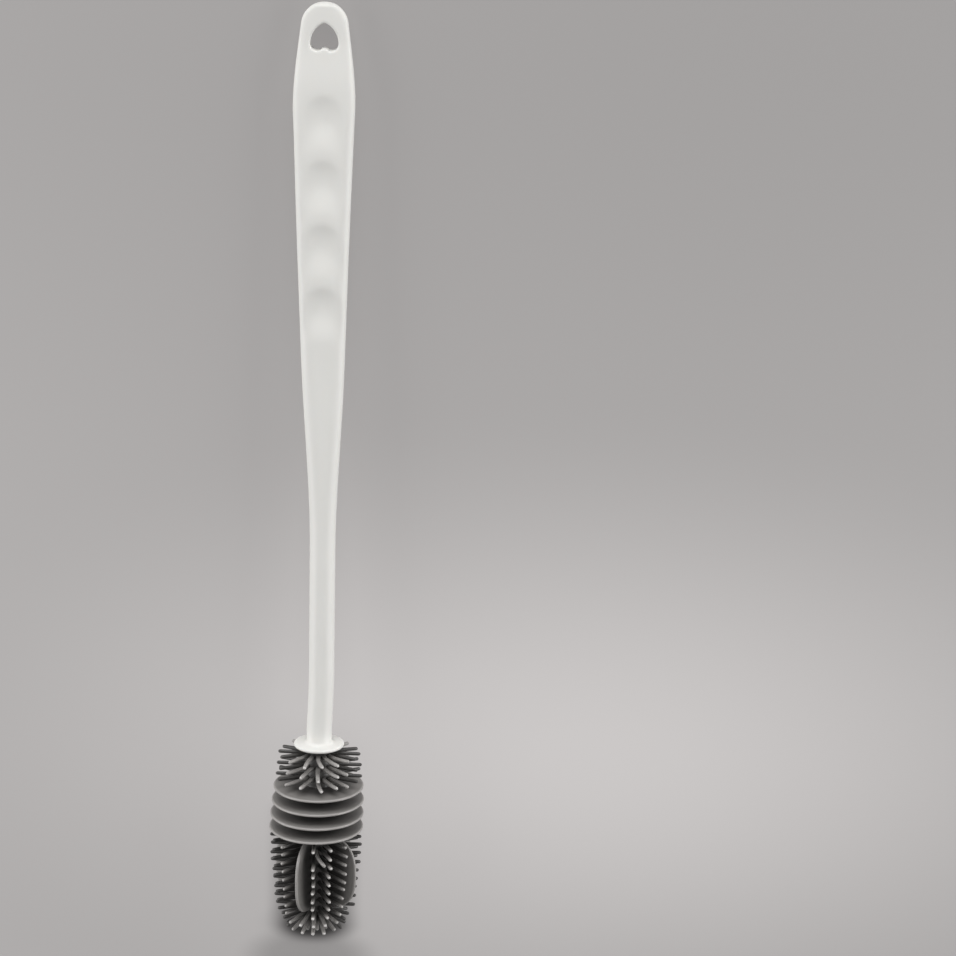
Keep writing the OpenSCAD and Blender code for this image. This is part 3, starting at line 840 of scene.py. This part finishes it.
def seen_rays(tree):
    """1 for the rays that show a surface to the camera, in gloss or through glass, and else 0."""
    path = add_node(tree, "ShaderNodeLightPath").outputs
    seen = path["Is Camera Ray"]
    for other in ("Is Glossy Ray", "Is Transmission Ray"):
        seen = add_node(tree, "ShaderNodeMath", {0: seen, 1: path[other]}, operation="MAXIMUM").outputs[0]
    return seen


across = add_node(tree, "ShaderNodeMapRange", {
    "Value": sides["X"], "From Min": -SIDE_REACH, "From Max": SIDE_REACH,
    "To Min": SIDE_FALL, "To Max": -SIDE_FALL}).outputs[0]
# Painted light: the falloff across the floor and the painted pool of light are added to its tone.
for more in (across, spot(GLOW_PLACE, GLOW_PLACE, 0, GLOW_REACH, 0, GLOW)):
    grey = add_node(tree, "ShaderNodeMath", {0: grey, 1: more}, operation="ADD").outputs[0]
tone = add_node(tree, "ShaderNodeVectorMath", {0: grey, 1: FLOOR_WARMTH},
                operation="MULTIPLY").outputs[0]
# Painted shadow: the strip under the head, darkest under the tip and fainter under the discs, and the two
# spots by the tip darken the floor's own tone.
under_head = add_node(tree, "ShaderNodeMapRange", {
    "Value": sides["Y"], "From Min": CONTACT_LOW[1], "From Max": CONTACT_HIGH[1],
    "To Min": CONTACT_DARK, "To Max": CONTACT_FAINT}).outputs[0]
for shade in (spot(SHADE_PLACE, SHADE_PLACE, *SHADE_REACH, 1, SHADE_LEFT),
              spot(CONTACT_LOW, CONTACT_LOW, *HALO_REACH, 1, HALO_LEFT),
              spot(CONTACT_LOW, CONTACT_HIGH, *CONTACT_REACH, 1, under_head)):
    tone = add_node(tree, "ShaderNodeVectorMath", {0: tone, 1: shade}, operation="MULTIPLY").outputs[0]
own_tone = add_node(tree, "ShaderNodeEmission", {"Color": tone})
# Under and just past the tip the camera sees only the painted shadow, with none of the real shadows.
own_share = spot(CONTACT_LOW, CONTACT_LOW, *UNSHADOWED_REACH, 1 - SHADOW_SHARE, 1)
share = add_node(tree, "ShaderNodeMath", {0: seen_rays(tree), 1: own_share}, operation="MULTIPLY")
blend = add_node(tree, "ShaderNodeMixShader", {
    0: share.outputs[0], 1: surface.outputs[0], 2: own_tone.outputs[0]})
tree.links.new(blend.outputs[0], tree.nodes["Material Output"].inputs["Surface"])
floor_mesh.materials.append(floor_paint)

# ---- Light --------------------------------------------------------------
# A softbox over the handle's end, one along each side and a small one before the
# head, in a dim room that the camera and the reflections see as pale as the floor.
ROOM_LIGHT = 0.06
ROOM_TONE = 0.45

world = bpy.data.worlds.new("studio")
world.use_nodes = True
tree = world.node_tree
strength = add_node(tree, "ShaderNodeMapRange", {
    "Value": seen_rays(tree), "To Min": ROOM_LIGHT, "To Max": ROOM_TONE})
tree.links.new(strength.outputs[0], tree.nodes["Background"].inputs["Strength"])
tree.nodes["Background"].inputs["Color"].default_value = (1, 0.985, 0.98, 1)
bpy.context.scene.world = world


def softbox(name, place, aim, size, power):
    """A rectangular lamp at an upright place in millimetres, turned to face aim."""
    lamp = bpy.data.lights.new(name, "AREA")
    lamp.shape = "RECTANGLE"
    lamp.size, lamp.size_y = size
    lamp.energy = power
    holder = bpy.data.objects.new(name, lamp)
    holder.visible_camera = False
    bpy.context.scene.collection.objects.link(holder)
    start, end = LAID @ Vector(place), LAID @ Vector(aim)
    holder.matrix_world = (Matrix.Translation(start)
                           @ (start - end).to_track_quat("Z", "Y").to_matrix().to_4x4())


softbox("key", (0, -740, 1600), (0, 0, 140), (1.25, 0.85), 20)
softbox("front", (0, -330, 50), (0, 0, 60), (0.16, 0.12), 0.058)
softbox("left_side", (-640, -240, 160), (0, 0, 150), (0.8, 0.3), 3.7)
softbox("right_side", (640, -240, 160), (0, 0, 150), (0.8, 0.3), 3.7)

# ---- Camera -------------------------------------------------------------
CAMERA_ASIDE = 52.3       # to the right of the brush's axis
CAMERA_AWAY = 866.2       # in front of it
CAMERA_UP = 409.1         # up along it from the lowest bristle tip
CAMERA_PITCH = 15.8
CAMERA_ROLL = 1.4
FRAME_PX = 956
FOCAL_PX = 2700
SENSOR_MM = 36

camera_data = bpy.data.cameras.new("camera")
camera_data.sensor_width = SENSOR_MM
camera_data.lens = SENSOR_MM * FOCAL_PX / FRAME_PX
camera = bpy.data.objects.new("camera", camera_data)
bpy.context.scene.collection.objects.link(camera)
upright = (Matrix.Translation((CAMERA_ASIDE, -CAMERA_AWAY, CAMERA_UP))
           @ Matrix.Rotation(math.radians(90 - CAMERA_PITCH), 4, "X")
           @ Matrix.Rotation(math.radians(CAMERA_ROLL), 4, "Z"))
place = LAID @ upright
camera.matrix_world = Matrix.LocRotScale(place.to_translation(), place.to_quaternion(), None)
bpy.context.scene.camera = camera
bpy.context.scene.view_settings.view_transform = "Standard"
